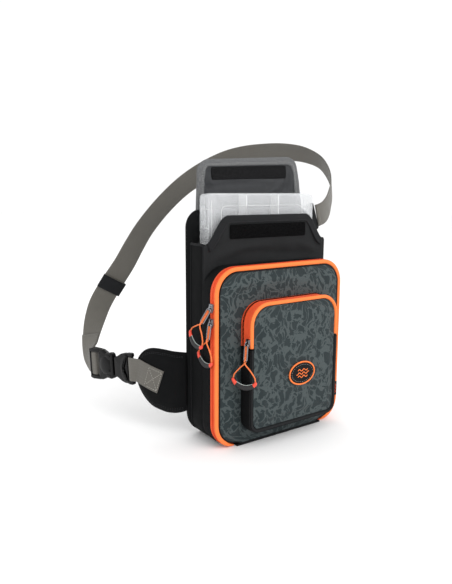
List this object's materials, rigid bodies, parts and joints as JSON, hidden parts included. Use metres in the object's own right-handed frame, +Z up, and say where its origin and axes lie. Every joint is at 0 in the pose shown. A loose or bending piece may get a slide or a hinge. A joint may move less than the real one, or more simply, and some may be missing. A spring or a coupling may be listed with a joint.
{
  "type": "fishing tackle sling bag",
  "caption": "Upright sling bag with layered zip pockets, a folded-open flap over a clear tackle box, a hip wing with a side-release buckle and a wide shoulder strap.",
  "frame": {"origin": "centre of the base across the bag, halfway between the front pocket's face and the back panel, on the floor", "axes": "+Z up, -Y to the front with the pockets, +Y to the wearer, +X to the side where the strap is sewn on"},
  "size_m": [0.4323, 0.3528, 0.4599],
  "materials": {
    "black_fabric": "woven polyester",
    "pad_fabric": "spacer mesh over foam",
    "edge_tape": "ribbed binding tape",
    "flap_lining": "smooth coated lining",
    "gray_tape": "grosgrain",
    "hook_strip": "hook and loop pile",
    "orange_tape": "ribbed zip tape and piping",
    "camo_fabric": "ripstop with a printed pattern of rounded patches",
    "clear_plastic": "clear moulded plastic",
    "white_plastic": "translucent white",
    "webbing": "woven polypropylene webbing",
    "black_plastic": "moulded, satin",
    "slider_metal": "gunmetal plating",
    "pull_cord": "braided cord",
    "grip_rubber": "moulded, soft"
  },
  "bodies": {
    "bag": {"back_panel": "pad_fabric", "main_gusset": "black_fabric", "front_wall": "black_fabric", "tongue_tape": "edge_tape", "hook_strip": "hook_strip", "lid_flap": "flap_lining", "flap_tape": "gray_tape", "loop_strip": "hook_strip", "pocket_gusset": "black_fabric", "pocket_zip_tape": "orange_tape", "pocket_piping": "orange_tape", "pocket_front": "camo_fabric", "small_pocket_gusset": "black_fabric", "small_pocket_zip_tape": "orange_tape", "small_pocket_piping": "orange_tape", "small_pocket_front": "camo_fabric", "badge_rim": "orange_tape", "badge": "hook_strip", "side_tag": "hook_strip", "zip_slider_1": "slider_metal", "zip_slider_2": "slider_metal", "zip_slider_3": "slider_metal", "pull_ring_1": "slider_metal", "pull_cord_1": "pull_cord", "pull_grip_1": "grip_rubber", "pull_ring_2": "slider_metal", "pull_cord_2": "pull_cord", "pull_grip_2": "grip_rubber", "pull_ring_3": "slider_metal", "pull_cord_3": "pull_cord", "pull_grip_3": "grip_rubber", "hip_wing": "pad_fabric", "buckle_male": "black_plastic", "buckle_female": "black_plastic", "wing_webbing": "webbing", "shoulder_strap": "webbing", "strap_keeper": "hook_strip", "strap_tab": "black_fabric"},
    "tackle_box": {"box_tray": "clear_plastic", "box_lid": "clear_plastic", "box_long_divider_1": "white_plastic", "box_long_divider_2": "white_plastic", "box_short_divider_1": "white_plastic", "box_short_divider_2": "white_plastic", "box_short_divider_3": "white_plastic", "box_latch_left": "clear_plastic", "box_latch_right": "clear_plastic"}
  },
  "joints": [
    {"name": "tackle_box_lift", "type": "slide", "parent": "bag", "child": "tackle_box", "axis": [0, 0, 1], "range_m": [0, 0.36]}
  ]
}
